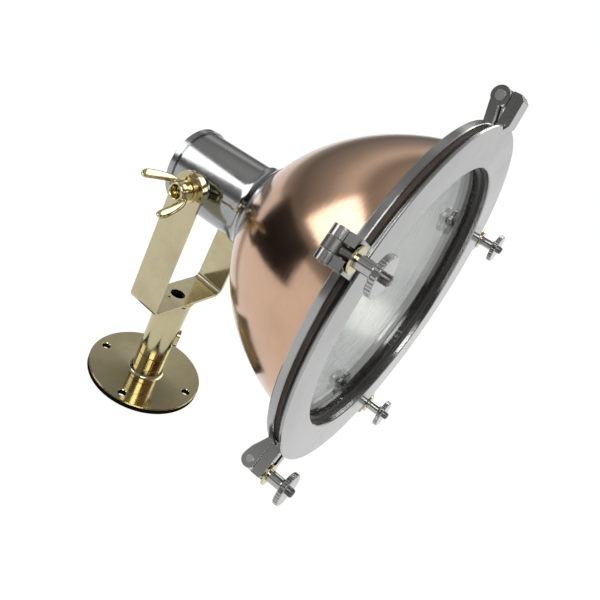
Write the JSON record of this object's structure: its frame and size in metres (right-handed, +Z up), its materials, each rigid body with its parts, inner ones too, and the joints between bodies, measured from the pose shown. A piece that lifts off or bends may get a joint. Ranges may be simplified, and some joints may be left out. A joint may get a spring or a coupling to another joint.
{
  "type": "cargo lantern",
  "caption": "Copper and aluminium cargo lantern with a clamped glass door, tilting in a brass yoke on a swivelling flanged post.",
  "frame": {"origin": "centre of the base flange's mounting face", "axes": "+Z up the post from the mounting face, +X forward under the lamp's axis, +Y to the lamp's left along the tilt axis"},
  "size_m": [0.3497, 0.4205, 0.5108],
  "materials": {
    "brass": "polished",
    "copper": "polished, fine spun marks",
    "aluminium": "polished",
    "reflector": "satin bright",
    "steel": "plain",
    "dark_steel": "dull",
    "rubber": "matte",
    "glass": "clear",
    "ceramic": "glazed"
  },
  "bodies": {
    "base": {"base_flange": "brass"},
    "yoke": {"swivel_post": "brass", "yoke": "brass", "lock_screw": "steel"},
    "head": {"rear_can": "aluminium", "rear_cover": "aluminium", "cover_gasket": "rubber", "pivot_studs": "brass", "pivot_discs": "brass", "outer_washers": "brass", "hex_nut_left": "brass", "gland_body": "brass", "gland_seal": "rubber", "gland_nut": "brass", "collar": "aluminium", "copper_bowl": "copper", "bowl_clamp_ring": "aluminium", "collar_screws": "steel", "reflector": "reflector", "rear_ring": "aluminium", "ring_rivets": "steel", "ring_gasket": "rubber", "door_ring": "aluminium", "lens_seal": "rubber", "lens_glass": "glass", "lens_back_seal": "rubber", "lens_circlip": "steel", "hinge_pin": "steel", "clamp_pins": "steel", "holder_plate": "steel", "holder_plate_screws": "steel", "holder_ceramic": "ceramic", "holder_screws": "steel", "holder_shell": "brass", "holder_contact": "brass", "terminal_block": "ceramic", "lamp_cap": "brass", "lamp_glass": "glass"},
    "wing_nut_right": {"wing_nut_right": "brass"},
    "swing_bolt_1": {"swing_bolt_1": "dark_steel", "clamp_washer_1": "brass"},
    "thumb_nut_1": {"thumb_nut_1": "aluminium"},
    "swing_bolt_2": {"swing_bolt_2": "dark_steel", "clamp_washer_2": "brass"},
    "thumb_nut_2": {"thumb_nut_2": "aluminium"},
    "swing_bolt_3": {"swing_bolt_3": "dark_steel", "clamp_washer_3": "brass"},
    "thumb_nut_3": {"thumb_nut_3": "aluminium"},
    "swing_bolt_4": {"swing_bolt_4": "dark_steel", "clamp_washer_4": "brass"},
    "thumb_nut_4": {"thumb_nut_4": "aluminium"}
  },
  "joints": [
    {"name": "yoke_swivel", "type": "hinge", "parent": "base", "child": "yoke", "pos_m": [0, 0, 0.06], "axis": [0, 0, 1], "range_deg": [-180, 180]},
    {"name": "lamp_tilt", "type": "hinge", "parent": "yoke", "child": "head", "pos_m": [0, 0, 0.284], "axis": [0, -1, 0], "range_deg": [-38, 206]},
    {"name": "wing_nut_right_turn", "type": "hinge", "parent": "head", "child": "wing_nut_right", "pos_m": [0, -0.065, 0.284], "axis": [0, -1, 0], "continuous": true},
    {"name": "swing_bolt_1_swing", "type": "hinge", "parent": "head", "child": "swing_bolt_1", "pos_m": [0.21493, 0.20123, 0.33748], "axis": [-0.0651, -0.1908, 0.9795], "range_deg": [0, 150]},
    {"name": "thumb_nut_1_turn", "type": "hinge", "parent": "swing_bolt_1", "child": "thumb_nut_1", "pos_m": [0.24506, 0.20123, 0.33948], "axis": [0.9978, 0, 0.0663], "continuous": true},
    {"name": "swing_bolt_2_swing", "type": "hinge", "parent": "head", "child": "swing_bolt_2", "pos_m": [0.2294, 0.09939, 0.11954], "axis": [-0.0321, 0.8746, 0.4837], "range_deg": [0, 150]},
    {"name": "thumb_nut_2_turn", "type": "hinge", "parent": "swing_bolt_2", "child": "thumb_nut_2", "pos_m": [0.25954, 0.09939, 0.12155], "axis": [0.9978, 0, 0.0663], "continuous": true},
    {"name": "swing_bolt_3_swing", "type": "hinge", "parent": "head", "child": "swing_bolt_3", "pos_m": [0.22746, -0.13981, 0.14885], "axis": [0.0452, 0.7314, -0.6805], "range_deg": [0, 150]},
    {"name": "thumb_nut_3_turn", "type": "hinge", "parent": "swing_bolt_3", "child": "thumb_nut_3", "pos_m": [0.25759, -0.13981, 0.15085], "axis": [0.9978, 0, 0.0663], "continuous": true},
    {"name": "swing_bolt_4_swing", "type": "hinge", "parent": "head", "child": "swing_bolt_4", "pos_m": [0.21178, -0.18579, 0.38489], "axis": [0.0601, -0.4226, -0.9043], "range_deg": [0, 150]},
    {"name": "thumb_nut_4_turn", "type": "hinge", "parent": "swing_bolt_4", "child": "thumb_nut_4", "pos_m": [0.24191, -0.18579, 0.38689], "axis": [0.9978, 0, 0.0663], "continuous": true}
  ]
}
